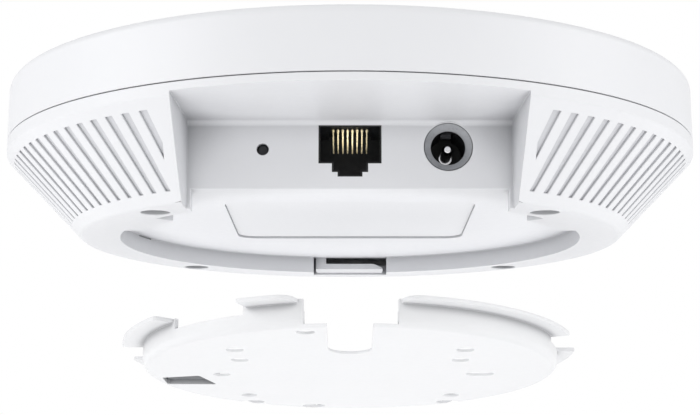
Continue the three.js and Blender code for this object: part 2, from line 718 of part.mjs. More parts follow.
// Springy finger on the far rim that clicks behind the housing's latch ledge.
const makeLatch = () => {
  const finger = sector(BRACKET_R - RIM_WIDTH, BRACKET_R, 169.2, 190.3, BRACKET_PLATE + GAP, 5.4);
  const bump = sector(BRACKET_R - 1, BRACKET_R + 1.8, 183, 188.5, 3.4, 5.4);
  return join(finger, bump);
};
addPiece("bracket_latch", makeLatch(), bracketPlastic, bracketGroup);

export default unit;
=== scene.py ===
"""Looks for the ceiling access point and its mounting bracket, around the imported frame."""
import json
import math

import bmesh
import bpy
from mathutils import Matrix, Vector


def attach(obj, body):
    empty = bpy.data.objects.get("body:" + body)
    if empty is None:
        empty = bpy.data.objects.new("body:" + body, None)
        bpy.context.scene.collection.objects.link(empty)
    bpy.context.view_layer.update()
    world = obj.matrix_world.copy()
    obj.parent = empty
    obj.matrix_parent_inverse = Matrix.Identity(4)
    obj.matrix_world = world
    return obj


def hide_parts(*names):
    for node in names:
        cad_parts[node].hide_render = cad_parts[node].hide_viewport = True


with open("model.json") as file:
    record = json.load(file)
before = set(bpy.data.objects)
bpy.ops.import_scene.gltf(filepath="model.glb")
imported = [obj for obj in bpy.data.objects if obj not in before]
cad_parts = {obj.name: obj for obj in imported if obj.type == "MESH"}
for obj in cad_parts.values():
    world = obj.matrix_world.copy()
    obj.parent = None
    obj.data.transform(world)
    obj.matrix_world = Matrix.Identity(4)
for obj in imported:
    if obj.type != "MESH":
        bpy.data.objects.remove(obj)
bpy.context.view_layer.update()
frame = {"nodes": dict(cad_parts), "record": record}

MM = 0.001
BODY = "access_point"

FACETS = 256
FACET = 360 / FACETS
FACET_DEGREES = [i * FACET for i in range(-FACETS // 2, FACETS // 2)]

# ---- sizes in millimetres, in the frame's axes ----
WALL = 2.0
GAP = 0.3
BODY_R = 80.0
RING_R = 62.66
RECESS_R = 53.7
RECESS_Z = 4.2
RECESS_WALL = 1.9
FLOOR_TOP_Z = 6.0
SKIRT_TOP_Z = 17.8
SEAM_Z = 20.6
SEAM_GAP = 0.2
COVER_EDGE_Z = 34.2
COVER_CROWN_Z = 35.4

PORT_WALL_Y = -46.16
PORT_CEILING_Z = 18.8
PORT_SHELL = 1.8
PORT_CORNER = 1.3
PORT_HALF = 34.1
PORT_MOUTH_HALF = 35.8
MOUTH_HALF = 33.2
FRAME_X = 37.3

SLOT_FIRST = 31.48
SLOT_COUNT = 89
SLOT_PITCH = (360 - 2 * SLOT_FIRST) / (SLOT_COUNT - 1)
SLOT_LOW_Z = 2.3
SLOT_HIGH_Z = 16.0
SLOT_DEPTH = 0.55
SLOT_RIB = 2.62
SLOT_SPARE = 0.15  # how much deeper the cut goes than the slots' grey floor

WELL_R = 3.1
WELL_BOTTOM_Z = 7.2
SCREW_HOLE_R = 1.7
WELLS = ((58.1, 45), (58.9, 136.9), (58.9, -136.9), (58.1, -45))  # radius and azimuth
SLIT = (-112.5, -105.5)  # azimuths of a slit in the recess's wall
POCKET = ((41.3, -33.9), (38.3, -31), (37.2, -38.4))

TAB_R = 49.35
TAB_START = 51.0
TAB_END_Y = -17.5
TAB_OUTER = 71.0
TAB_THICK = 1.4

NOTCH_HALF = 9.8
NOTCH_Y = 51.0
NOTCH_SLOT = (-6.46, 2.55)  # left end and bottom of the dark slot
LEDGE_Y = (54.4, 59.0)
LABEL_HALF = 27.6
LABEL_Y = (-31.0, 20.5)
LABEL_CORNER = 4.5
LABEL_DEPTH = 0.5

JACK_BOXES = ((6.6, 9.64), (3.8, 7.8), (2.6, 6.83))  # half width and bottom of each step
JACK_TOP_Z = 17.8
CONTACT_PITCH = 1.02
POWER = (20.6, 13.2)
RESET = (-18.28, 12.69)

BRACKET_R = 48.0
BRACKET_Z = -30.58
BRACKET_LEAN = math.radians(7.36)
RIM = 1.6
PLATE = 0.65
HOOK_WALL = 1.0
RIM_Z = 3.6
RIM_GAP = (-11.6, 12.2)
LIP_LOW = 5.0
LIP_HIGH = 5.95
LIP_R = 52.8
HOOKS = (  # azimuths of the wall and of the lip, the lip's radius, and the radii of its outer corners
    ((-27.8, -11.6), (-26.8, -13), 52.4, (0, 4)),
    ((-82, -52.2), (-85, -52.9), 52.8, (0, 0.6)),
    ((-127.2, -101.8), (-128, -101), 52.8, (0, 0)),
    ((12.2, 69.7), (12.8, 71.5), 51.9, (4, 0)),
    ((90.6, 127.2), (90, 128), 52.5, (0, 0)),
)
HOOK_FOOT_Z = 2.2
CABLE_HALF = 4.75
CABLE_Y = -25.1
WINDOW = ((-44.4, 6.4, 0.6), (-35.6, 4, 0.6), (-32.2, 14.6, 0.6), (-44, 14.2, 0.6))
WINDOW_TOP_Z = 2.7
HOOD = ((-44.9, 5.9), (-35.1, 3.3), (-31.5, 15.2), (-44.4, 14.9))
HOOD_TOP_Z = 3.4
HOOD_FLOOR = ((-43.9, 6.6), (-35.8, 4.4), (-32.6, 14.2), (-43.6, 13.8))
PAIRED_HOLES = ((25.2, -24.2), (24.8, -13.6), (25.2, 28.6))
SINGLE_HOLES = ((-9.3, -41.6, 1.95), (-30.1, 2.6, 2))
LONG_HOLES = (
    (29.1, 31.7, 2.1, 1.95),
    (-25.6, -23.8, 37.8, 1.95),
    (24, 25.8, 37.8, 1.95),
    (-10.3, -8.3, 43.2, 1.9),
)
HOLE_R = 1.95
FINGER = (169.2, 190.3)
FINGER_GAP = (168.5, 191)
FINGER_BUMP = (183, 188.5)
FINGER_TOP_Z = 5.4


# ---- mesh tools ----
def around(radius, degrees):
    """A point at this azimuth, which runs from the port side towards +X."""
    a = math.radians(degrees)
    return radius * math.sin(a), -radius * math.cos(a)


def mesh_object(name, points, faces):
    mesh = bpy.data.meshes.new(name)
    mesh.from_pydata([Vector(p) * MM for p in points], [], faces)
    mesh.validate()
    piece = bpy.data.objects.new(name, mesh)
    bpy.context.scene.collection.objects.link(piece)
    return piece


def rounded(outline, steps=4):
    """An outline of (u, v) or (u, v, radius) corners, with an arc at each corner that has a radius."""
    done = []
    for i, corner in enumerate(outline):
        here = Vector(corner[:2])
        radius = corner[2] if len(corner) > 2 else 0
        if not radius:
            done.append(tuple(here))
            continue
        back = (Vector(outline[i - 1][:2]) - here).normalized()
        on = (Vector(outline[(i + 1) % len(outline)][:2]) - here).normalized()
        half = back.angle(on) / 2
        reach = radius / math.tan(half)
        centre = here + (back + on).normalized() * (radius / math.sin(half))
        first, last = here + back * reach - centre, here + on * reach - centre
        sweep = math.atan2(first.x * last.y - first.y * last.x, first.dot(last))
        for k in range(steps + 1):
            done.append(tuple(centre + Matrix.Rotation(sweep * k / steps, 2) @ first))
    return done


def full_turn(steps):
    """Evenly spaced azimuths, all the way round."""
    return [360 * i / steps for i in range(steps)]


def turned(name, outline, degrees=None):
    """A closed outline of (radius, z) turned about Z. Points on the axis are shared."""
    degrees = degrees or FACET_DEGREES
    points, rings = [], []
    for radius, z in outline:
        if radius < 1e-6:
            rings.append([len(points)] * len(degrees))
            points.append((0, 0, z))
        else:
            rings.append([len(points) + i for i in range(len(degrees))])
            points += [(*around(radius, a), z) for a in degrees]
    faces = []
    for row, low in enumerate(rings):
        high = rings[(row + 1) % len(rings)]
        if low[0] == low[1] and high[0] == high[1]:
            continue
        for i in range(len(degrees)):
            j = (i + 1) % len(degrees)
            face = [low[i], low[j], high[j], high[i]]
            faces.append([v for k, v in enumerate(face) if v != face[k - 1]])
    return outward(mesh_object(name, points, faces))


def outward(piece):
    """Turns every face of a closed piece outwards."""
    bm = bmesh.new()
    bm.from_mesh(piece.data)
    bmesh.ops.recalc_face_normals(bm, faces=bm.faces)
    if bm.calc_volume(signed=True) < 0:
        bmesh.ops.reverse_faces(bm, faces=bm.faces)
    bm.to_mesh(piece.data)
    bm.free()
    return piece


def prism(name, outline, low, high, place=None):
    """A closed outline of (x, y), drawn up from low to high, and then moved by place."""
    n = len(outline)
    points = [(x, y, z) for z in (low, high) for x, y in outline]
    if place is not None:
        points = [tuple(place @ Vector(p)) for p in points]
    sides = [[i, (i + 1) % n, n + (i + 1) % n, n + i] for i in range(n)]
    return outward(mesh_object(name, points, [list(range(n)), list(range(n, 2 * n)), *sides]))


def block(x0, x1, y0, y1, z0, z1):
    return prism("block", [(x0, y0), (x1, y0), (x1, y1), (x0, y1)], z0, z1)


def circle(x, y, radius, steps=64):
    turn = 2 * math.pi / steps
    return [(x + radius * math.cos(i * turn), y + radius * math.sin(i * turn)) for i in range(steps)]


def pill(x0, x1, y, radius, steps=16):
    """The outline of a slot that runs along x."""
    outline = []
    for x, first in ((x1, -90), (x0, 90)):
        for k in range(steps + 1):
            a = math.radians(first + 180 * k / steps)
            outline.append((x + radius * math.cos(a), y + radius * math.sin(a)))
    return outline


SIDEWARD = Matrix(((0, 0, 1, 0), (1, 0, 0, 0), (0, 1, 0, 0), (0, 0, 0, 1)))  # (y, z, x) to (x, y, z)
FRONTWARD = Matrix(((1, 0, 0, 0), (0, 0, 1, 0), (0, 1, 0, 0), (0, 0, 0, 1)))  # (x, z, y) to (x, y, z)


def lying(x, y, z):
    """Lays a turned piece down: its axis runs back from this point, along Y."""
    return Matrix.Translation((x * MM, y * MM, z * MM)) @ Matrix.Rotation(-math.pi / 2, 4, "X")


def sector(name, r0, r1, start, end, low, high):
    """Part of a flat ring between two radii and two azimuths, on the facets of a turned piece."""
    inside = range(math.floor(start / FACET) + 1, math.ceil(end / FACET))
    angles = [start, *(i * FACET for i in inside), end]
    outline = [around(r0, a) for a in angles] + [around(r1, a) for a in reversed(angles)]
    return prism(name, outline, low, high)


def settle(piece):
    """Applies a piece's modifiers."""
    graph = bpy.context.evaluated_depsgraph_get()
    mesh = bpy.data.meshes.new_from_object(piece.evaluated_get(graph))
    piece.modifiers.clear()
    piece.data = mesh


def combine(piece, tools, operation):
    """Cuts tools from a piece, or joins them to it, one after another."""
    for tool in tools:
        step = piece.modifiers.new("combine", "BOOLEAN")
        step.solver = "MANIFOLD"
        step.operation = operation
        step.object = tool
        settle(piece)
        bpy.data.objects.remove(tool)
    return piece


def cut(piece, *tools):
    return combine(piece, tools, "DIFFERENCE")


def join(piece, *tools):
    return combine(piece, tools, "UNION")


def soften(piece, width=0.18, angle=32):
    """Rounds a piece's sharp edges."""
    bm = bmesh.new()
    bm.from_mesh(piece.data)
    bmesh.ops.remove_doubles(bm, verts=bm.verts, dist=0.01 * MM)
    bmesh.ops.dissolve_limit(bm, angle_limit=math.radians(0.4), verts=bm.verts, edges=bm.edges)
    bm.to_mesh(piece.data)
    bm.free()
    edge = piece.modifiers.new("edge", "BEVEL")
    edge.width = width * MM
    edge.segments = 2
    edge.limit_method = "ANGLE"
    edge.angle_limit = math.radians(angle)
    edge.use_clamp_overlap = False
    settle(piece)
    return piece


def finished(piece, name, slot, body=BODY, nodes=()):
    """Shades a piece smooth but for its sharp edges, and puts it in the frame."""
    piece.data.shade_smooth()
    piece.data.set_sharp_from_angle(angle=math.radians(38))
    weigh = piece.modifiers.new("weigh", "WEIGHTED_NORMAL")
    weigh.keep_sharp = True
    settle(piece)
    piece.name = name
    piece.data.materials.clear()
    piece.data.materials.append(MATERIALS[slot])
    if nodes:
        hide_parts(*nodes)
    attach(piece, body)
    return piece


# ---- materials ----
# painted shade: ambient occlusion darkens the white plastics' colour in hollows, slots and corners
SHUT_IN = 0.08  # how open a place is that counts as wholly shut in
PAINTED_SHADE_DARK = (0.05, 0.055, 0.07, 1)


class Paint:
    """A Principled material with noise for its colour, roughness and bump."""

    def __init__(self, name, color, roughness, metallic=0.0):
        self.material = bpy.data.materials.new(name)
        self.material.use_nodes = True
        self.nodes = self.material.node_tree.nodes
        self.links = self.material.node_tree.links
        self.shader = self.nodes["Principled BSDF"]
        self.shader.inputs["Base Color"].default_value = (*color, 1)
        self.shader.inputs["Roughness"].default_value = roughness
        self.shader.inputs["Metallic"].default_value = metallic
        self.color = color
        self.roughness = roughness
        self.place = self.nodes.new("ShaderNodeTexCoord")

    def noise(self, millimetres, detail=2.0, stretch=(1, 1, 1)):
        mapping = self.nodes.new("ShaderNodeMapping")
        mapping.inputs["Scale"].default_value = stretch
        noise = self.nodes.new("ShaderNodeTexNoise")
        noise.inputs["Scale"].default_value = 1 / (millimetres * MM)
        noise.inputs["Detail"].default_value = detail
        self.links.new(self.place.outputs["Object"], mapping.inputs["Vector"])
        self.links.new(mapping.outputs["Vector"], noise.inputs["Vector"])
        return noise.outputs["Fac"]

    def ramp(self, source, low, high):
        span = self.nodes.new("ShaderNodeMapRange")
        span.inputs["From Min"].default_value = 0.3
        span.inputs["From Max"].default_value = 0.7
        span.inputs["To Min"].default_value = low
        span.inputs["To Max"].default_value = high
        self.links.new(source, span.inputs["Value"])
        return span.outputs["Result"]

    def tint(self, source, other):
        """Varies the colour towards another one."""
        mix = self.nodes.new("ShaderNodeMix")
        mix.data_type = "RGBA"
        mix.inputs["A"].default_value = (*self.color, 1)
        mix.inputs["B"].default_value = (*other, 1)
        self.links.new(self.ramp(source, 0, 1), mix.inputs["Factor"])
        self.links.new(mix.outputs["Result"], self.shader.inputs["Base Color"])
        return self

    def paint_shade_into_hollows(self, millimetres, share, open_from):
        """Paints shade into the colour: darkens it where the surface is shut in by its surroundings."""
        shut = self.nodes.new("ShaderNodeAmbientOcclusion")
        shut.samples = 12
        shut.inputs["Distance"].default_value = millimetres * MM
        span = self.nodes.new("ShaderNodeMapRange")
        span.inputs["From Min"].default_value = SHUT_IN
        span.inputs["From Max"].default_value = open_from
        span.inputs["To Min"].default_value = share
        span.inputs["To Max"].default_value = 0
        self.links.new(shut.outputs["AO"], span.inputs["Value"])
        mix = self.nodes.new("ShaderNodeMix")
        mix.data_type = "RGBA"
        mix.inputs["B"].default_value = PAINTED_SHADE_DARK
        self.links.new(self.shader.inputs["Base Color"].links[0].from_socket, mix.inputs["A"])
        self.links.new(span.outputs["Result"], mix.inputs["Factor"])
        self.links.new(mix.outputs["Result"], self.shader.inputs["Base Color"])
        return self

    def gloss(self, source, spread):
        result = self.ramp(source, self.roughness - spread, self.roughness + spread)
        self.links.new(result, self.shader.inputs["Roughness"])
        return self

    def bump(self, source, height_mm, strength=1.0):
        bump = self.nodes.new("ShaderNodeBump")
        bump.inputs["Strength"].default_value = strength
        bump.inputs["Distance"].default_value = height_mm * MM
        self.links.new(source, bump.inputs["Height"])
        self.links.new(bump.outputs["Normal"], self.shader.inputs["Normal"])
        return self


def moulded_white(name, color, shade, roughness, grain_mm, grain_height, painted_shades=()):
    paint = Paint(name, color, roughness)
    paint.tint(paint.noise(18, 3), shade)
    paint.gloss(paint.noise(1.2, 4), 0.05)
    paint.bump(paint.noise(grain_mm, 3), grain_height, 0.35)
    paint.shader.inputs["Specular IOR Level"].default_value = 0.4
    # painted shade in the hollows, where it is asked for
    for hollow in painted_shades:
        paint.paint_shade_into_hollows(*hollow)
    return paint.material


def simple(name, color, roughness, metallic=0.0, grain_mm=0.3, grain_height=0.01, shade=None):
    paint = Paint(name, color, roughness, metallic)
    paint.tint(paint.noise(3, 3), shade or tuple(c * 0.85 for c in color))
    paint.gloss(paint.noise(0.8, 3), min(0.08, roughness * 0.4))
    paint.bump(paint.noise(grain_mm, 2), grain_height, 0.4)
    return paint.material


def brushed(name, color, roughness, stretch=(1, 30, 30)):
    paint = Paint(name, color, roughness, 1.0)
    lines = paint.noise(4, 3, stretch)
    paint.tint(paint.noise(5, 3), tuple(c * 0.88 for c in color))
    paint.gloss(lines, 0.08)
    paint.bump(lines, 0.01, 0.3)
    return paint.material


# painted shade for the white plastics: reach in millimetres, share of the dark, and how open a place has to
# be to stay unshaded
HOUSING_PAINTED_SHADE = ((12.0, 0.72, 0.69), (2.5, 0.25, 0.9))
BRACKET_PAINTED_SHADE = ((9.0, 0.88, 0.74), (2.0, 0.55, 0.92))

MATERIALS = {
    "housing_white": moulded_white(
        "housing white", (0.72, 0.725, 0.745), (0.71, 0.715, 0.735), 0.42, 0.22, 0.012, HOUSING_PAINTED_SHADE
    ),
    "cover_white": moulded_white(
        "cover white", (0.725, 0.73, 0.75), (0.716, 0.722, 0.742), 0.4, 0.16, 0.008
    ),
    "label_white": moulded_white(
        "label white", (0.73, 0.735, 0.75), (0.722, 0.727, 0.742), 0.55, 0.5, 0.004
    ),
    "bracket_white": moulded_white(
        "bracket white", (0.73, 0.733, 0.745), (0.72, 0.724, 0.736), 0.45, 0.2, 0.01, BRACKET_PAINTED_SHADE
    ),
    "board_green": simple("solder mask", (0.012, 0.09, 0.045), 0.35, grain_mm=0.5, shade=(0.02, 0.13, 0.06)),
    "chip_black": simple("chip black", (0.018, 0.018, 0.02), 0.5),
    "shield_steel": brushed("tinned steel", (0.62, 0.63, 0.64), 0.34),
    "thermal_pad": simple("thermal pad", (0.25, 0.33, 0.47), 0.8),
    "spreader_aluminium": brushed("aluminium", (0.72, 0.73, 0.74), 0.36),
    "antenna_steel": brushed("antenna plate", (0.66, 0.66, 0.65), 0.3),
    "led_white": simple("led", (0.9, 0.82, 0.6), 0.3),
    "jack_black": simple("jack black", (0.004, 0.0045, 0.0055), 0.5, grain_mm=0.2),
    "bezel_grey": simple("bezel grey", (0.36, 0.37, 0.39), 0.32),
    "pin_chrome": simple("chrome", (0.85, 0.85, 0.87), 0.12, 1.0, grain_height=0.002),
    "button_grey": simple("button", (0.012, 0.013, 0.016), 0.45),
    "screw_steel": simple("black zinc", (0.12, 0.125, 0.135), 0.4, 0.8),
    "contact_gold": simple(
        "gold plate", (0.9, 0.78, 0.5), 0.3, 0.35, grain_height=0.003, shade=(0.82, 0.68, 0.4)
    ),
}
# painted shade: the dark grey of the sheet that darkens the bracket's window
HOOD_SHADE_GREY = simple("hood painted shade", (0.15, 0.155, 0.165), 0.6, shade=(0.12, 0.125, 0.135))
VENT_GREY = simple("vent grey", (0.6, 0.605, 0.63), 0.5, shade=(0.57, 0.575, 0.6))


def clear_plastic():
    paint = Paint("clear plastic", (0.93, 0.96, 0.97), 0.12)
    paint.gloss(paint.noise(1.0, 3), 0.04)
    paint.shader.inputs["Transmission Weight"].default_value = 0.85
    paint.shader.inputs["IOR"].default_value = 1.49
    return paint.material


MATERIALS["clear_plastic"] = clear_plastic()


def dress_nodes():
    """Gives every CAD node the material of its slot, but the jack's dark spring that of the screws."""
    for entry in frame["record"]["subparts"]:
        node = frame["nodes"][entry["node"]]
        material = MATERIALS[entry["material_slot"]]
        if node.material_slots:
            for place in node.material_slots:
                place.material = material
        else:
            node.data.materials.append(material)
    frame["nodes"]["power_jack_spring"].material_slots[0].material = MATERIALS["screw_steel"]


# ---- rear housing ----
SKIRT_RISE = SKIRT_TOP_Z / (BODY_R - RING_R)


def skirt_radius(z):
    return RING_R + z / SKIRT_RISE


def housing_degrees():
    """Azimuths of the housing's facets, on every slot's and every rib's centre line."""
    half = SLOT_PITCH / 2
    slotted = [SLOT_FIRST + i * half for i in range(2 * (SLOT_COUNT - 1) + 1)]
    plain = [slotted[-1] + 2 * SLOT_FIRST * i / 36 for i in range(1, 36)]
    return slotted + plain


def port_outline(grow=0.0):
    inner, outer = PORT_HALF + grow, PORT_MOUTH_HALF + grow
    back, front = PORT_WALL_Y + grow, -BODY_R - 12
    return [(-outer, front), (outer, front), (inner, back), (-inner, back)]


def port_bay():
    """The space of the port bay: splayed sides, and a soft corner between its ceiling and its back."""
    bay = prism("bay", port_outline(), -1, PORT_CEILING_Z)
    front, below = -BODY_R - 15, -1.5
    corner = (PORT_WALL_Y, PORT_CEILING_Z, PORT_CORNER)
    side = rounded([(front, below), (PORT_WALL_Y, below), corner, (front, PORT_CEILING_Z)], 5)
    profile = prism("profile", side, -50, 50, SIDEWARD)
    return combine(bay, [profile], "INTERSECT")


def skirt_slots(name, order):
    """The skirt's tapered blind slots of these numbers, in one tool."""
    half = math.radians(SLOT_PITCH) / 2
    low = skirt_radius(SLOT_LOW_Z) * half - SLOT_RIB / 2
    high = skirt_radius(SLOT_HIGH_Z) * half - SLOT_RIB / 2
    rise = SLOT_HIGH_Z - SLOT_LOW_Z
    length = math.hypot(rise, rise / SKIRT_RISE)
    up = Vector((0, -1, SKIRT_RISE)).normalized()
    side = Vector((1, 0, 0))
    out = side.cross(up)
    place = Matrix((side, up, out)).transposed().to_4x4()
    place.translation = (0, -skirt_radius(SLOT_LOW_Z), SLOT_LOW_Z)
    ends = ((-low, 0), (low, 0), (high, length), (-high, length))
    points, faces = [], []
    for k in order:
        turn = Matrix.Rotation(math.radians(SLOT_FIRST + k * SLOT_PITCH), 4, "Z") @ place
        base = len(points)
        for z in (-SLOT_DEPTH - SLOT_SPARE, 0.6):
            points += [tuple(turn @ Vector((x, y, z))) for x, y in ends]
        for face in ((3, 2, 1, 0), (4, 5, 6, 7), (0, 1, 5, 4), (1, 2, 6, 5), (2, 3, 7, 6), (3, 0, 4, 7)):
            faces.append([base + i for i in face])
    return outward(mesh_object(name, points, faces))


def bayonet_tab(side):
    """A thin tab at the mouth of the recess, rooted in the recess's wall."""
    end = math.degrees(math.acos(-TAB_END_Y / TAB_R))
    root = RECESS_R + 0.5
    inner = [around(TAB_R, TAB_START + (end - TAB_START) * i / 14) for i in range(15)]
    outer = [around(root, TAB_OUTER + (TAB_START - TAB_OUTER) * i / 14) for i in range(15)]
    corner = (math.sqrt(root**2 - TAB_END_Y**2), TAB_END_Y)
    outline = [(side * x, y) for x, y in (*inner, corner, *outer)]
    return prism("tab", outline, 0, TAB_THICK)


def rounded_box(x0, x1, y0, y1, radius, z0, z1):
    corners = [(x0, y0, radius), (x1, y0, radius), (x1, y1, radius), (x0, y1, radius)]
    return prism("box", rounded(corners, 8), z0, z1)


def flared(x, y, radius, flare, z0, z1):
    """A round cutter whose rim is flared at z=0."""
    wide = radius + flare
    profile = [(0, z0), (wide, z0), (wide, 0), (radius + flare / 3, flare / 3), (radius, flare)]
    tool = turned("flared", [*profile, (radius, z1), (0, z1)], full_turn(64))
    tool.data.transform(Matrix.Translation((x * MM, y * MM, 0)))
    return tool


def front_hole(x, z, radius, flare=0.3):
    """A round cutter through the port wall, flared at the wall's face."""
    tool = flared(0, 0, radius, flare, -2, PORT_SHELL + 1)
    tool.data.transform(lying(x, PORT_WALL_Y, z))
    return tool


def inner_space():
    """The hollow of the housing, less what has to stay solid in it."""
    inner_r = RING_R - WALL * math.hypot(1, 1 / SKIRT_RISE)
    edge = BODY_R - WALL
    wall = RECESS_R + RECESS_WALL
    inside = turned(
        "inside",
        [
            (0, FLOOR_TOP_Z),
            (wall, FLOOR_TOP_Z),
            (wall, WALL),
            (inner_r + WALL / SKIRT_RISE, WALL),
            (edge, (edge - inner_r) * SKIRT_RISE),
            (edge, SEAM_Z + 1),
            (0, SEAM_Z + 1),
        ],
    )
    cut(inside, prism("shell", port_outline(PORT_SHELL), -1, SEAM_Z + 2))
    sill = block(-36, 36, -48, -42, -1, FLOOR_TOP_Z)
    latch_pad = block(-12, 12, 52, 59.4, -1, FLOOR_TOP_Z + 0.5)
    return cut(inside, sill, latch_pad)


def latch_notch():
    """A pocket that leaves the latch ledge standing, with a dark slot above the ledge."""
    left, low = NOTCH_SLOT
    notch = block(-NOTCH_HALF, NOTCH_HALF, NOTCH_Y, 57.4, -1, RECESS_Z)
    foot = [(-9.2, 0.5, 0.3), (8.8, 0.5, 0.3), (8.8, 1.5, 0.6), (6.4, low, 1.6)]
    post = [(left, low), (left, 6), (-9.2, 6)]
    ledge = prism("ledge", rounded(foot + post), *LEDGE_Y, FRONTWARD)
    slope = prism("slope", [(54, 1.25), (57.6, 0), (57.6, -1), (54, -1)], -12, 12, SIDEWARD)
    cut(ledge, slope)
    return join(cut(notch, ledge), block(left, NOTCH_HALF, NOTCH_Y, 61, low, RECESS_Z))


def make_housing():
    top = SEAM_Z - SEAM_GAP / 2
    outline = [(0, 0), (RING_R, 0, 1.6), (BODY_R, SKIRT_TOP_Z, 0.8), (BODY_R, top, 0.2), (0, top)]
    housing = turned("housing", rounded(outline, 5), housing_degrees())
    recess = turned("recess", [(0, -1), (RECESS_R, -1), (RECESS_R, RECESS_Z), (0, RECESS_Z)])
    mouth = block(-MOUTH_HALF, MOUTH_HALF, -47, -40, -1, RECESS_Z)
    cut(housing, port_bay(), join(recess, mouth))
    join(housing, bayonet_tab(1), bayonet_tab(-1))
    first_and_last = skirt_slots("ends", (0, SLOT_COUNT - 1))
    cut(first_and_last, block(-FRAME_X, FRAME_X, -BODY_R - 5, -40, -1, SEAM_Z))
    cut(housing, skirt_slots("slots", range(1, SLOT_COUNT - 1)), first_and_last)
    soften(housing)
    cut(housing, inner_space())
    cut(housing, latch_notch())
    cut(housing, sector("slit", RECESS_R - 1, RECESS_R + 0.35, *SLIT, 3.85, RECESS_Z - 0.05))
    for place in WELLS:
        x, y = around(*place)
        join(housing, prism("tube", circle(x, y, WELL_R + 1.3), 1, 9))
        hole = prism("hole", circle(x, y, SCREW_HOLE_R, 32), WELL_BOTTOM_Z - 0.2, 10)
        cut(housing, flared(x, y, WELL_R, 0.25, -1, WELL_BOTTOM_Z), hole)
    middle = PORT_WALL_Y + PORT_SHELL / 2
    for half, low in JACK_BOXES:
        cut(housing, block(-half, half, middle - 2, middle + 2, low, JACK_TOP_Z))
    cut(housing, front_hole(*POWER, 5.05), front_hole(*RESET, 1.25, 0.2))
    seat = (RECESS_Z - 1, RECESS_Z + 0.9)
    cut(housing, rounded_box(-LABEL_HALF, LABEL_HALF, *LABEL_Y, LABEL_CORNER, *seat))
    for side in (-1, 1):
        corners = [(side * x, y) for x, y in POCKET]
        cut(housing, prism("pocket", corners, 3, RECESS_Z + 1.5))
    return finished(housing, "rear_housing_shell", "housing_white", nodes=["rear_housing"])


def make_vent_floor():
    """The grey floor behind all the skirt's slots: a conical band inside the housing's wall."""
    along = Vector((BODY_R - RING_R, SKIRT_TOP_Z)).normalized()
    inward = Vector((-along.y, along.x))

    def spot(z, depth):
        return tuple(Vector((skirt_radius(z), z)) + inward * depth)

    low, high = SLOT_LOW_Z - 0.3, SLOT_HIGH_Z + 0.3
    deep = SLOT_DEPTH + 0.35
    outline = [spot(low, SLOT_DEPTH), spot(high, SLOT_DEPTH), spot(high, deep), spot(low, deep)]
    band = turned("band", outline, housing_degrees())
    cut(band, prism("bay", port_outline(0.6), -1, SEAM_Z))
    finished(band, "rear_housing_vent_floor", "housing_white")
    band.material_slots[0].material = VENT_GREY


# ---- front cover ----
def make_cover():
    corner = 2.0
    top = BODY_R - 0.15
    outline = rounded(
        [
            (BODY_R - WALL, SEAM_Z + SEAM_GAP / 2),
            (BODY_R, SEAM_Z + SEAM_GAP / 2, 0.2),
            (top, COVER_EDGE_Z, corner),
            (0, COVER_CROWN_Z),
            (0, COVER_CROWN_Z - WALL),
            (top - WALL, COVER_EDGE_Z - WALL, 1),
        ],
        6,
    )
    cover = turned("cover", outline, full_turn(288))
    inner = BODY_R - 4.3
    outer = BODY_R - WALL - GAP
    lip = turned(
        "lip",
        [
            (inner, SEAM_Z - 2),
            (outer, SEAM_Z - 2),
            (outer, SEAM_Z + 0.6),
            (BODY_R - 1.6, SEAM_Z + 0.6),
            (BODY_R - 1.6, SEAM_Z + 2.4),
            (inner, SEAM_Z + 2.4),
        ],
    )
    cut(lip, block(-39, 39, -BODY_R - 2, -30, SEAM_Z - 3, SEAM_Z + GAP / 2))
    join(cover, lip)
    for place in WELLS:
        x, y = around(*place)
        join(cover, prism("post", circle(x, y, 3, 32), 9.3, COVER_EDGE_Z - 1))
        cut(cover, prism("bore", circle(x, y, SCREW_HOLE_R, 24), 9, 20))
    cut(cover, prism("light", circle(0, -58, 1.5, 32), COVER_EDGE_Z - 4, COVER_CROWN_Z + 1))
    return finished(cover, "front_cover_shell", "cover_white", nodes=["front_cover"])


# ---- mounting bracket, built flat and then leaned into its place ----
BRACKET_PLACE = Matrix.Translation((0, 0, BRACKET_Z * MM)) @ Matrix.Rotation(-BRACKET_LEAN, 4, "X")


def lip_shape(start, end, lip_r, corners):
    """One hook's lip, whose outer corners may be round. It starts in the middle of the wall."""
    inner = BRACKET_R - HOOK_WALL / 2
    steps = max(12, int((end - start) / 0.5))
    outer = []
    for i in range(steps + 1):
        a = start + (end - start) * i / steps
        radius = lip_r
        for corner, side in zip(corners, (a - start, end - a)):
            short = corner - math.radians(side) * lip_r
            if short > 0:
                radius = lip_r - corner + math.sqrt(corner**2 - short**2)
        outer.append(around(radius, a))
    back = [around(inner, end - (end - start) * i / 24) for i in range(25)]
    return prism("lip", outer + back, LIP_LOW, LIP_HIGH)


def cable_notch():
    """The outline of the notch that lets the cables past: open in front, round at its end."""
    arc = [math.pi * k / 24 for k in range(25)]
    end = [(CABLE_HALF * math.cos(a), CABLE_Y + CABLE_HALF * math.sin(a)) for a in arc]
    return [(-CABLE_HALF, -60), (CABLE_HALF, -60), *end]


def bracket_piece(piece, name, nodes=(), body="mounting_bracket"):
    """Leans a piece of the bracket into its place and finishes it."""
    piece.data.transform(BRACKET_PLACE)
    return finished(piece, name, "bracket_white", body, nodes)


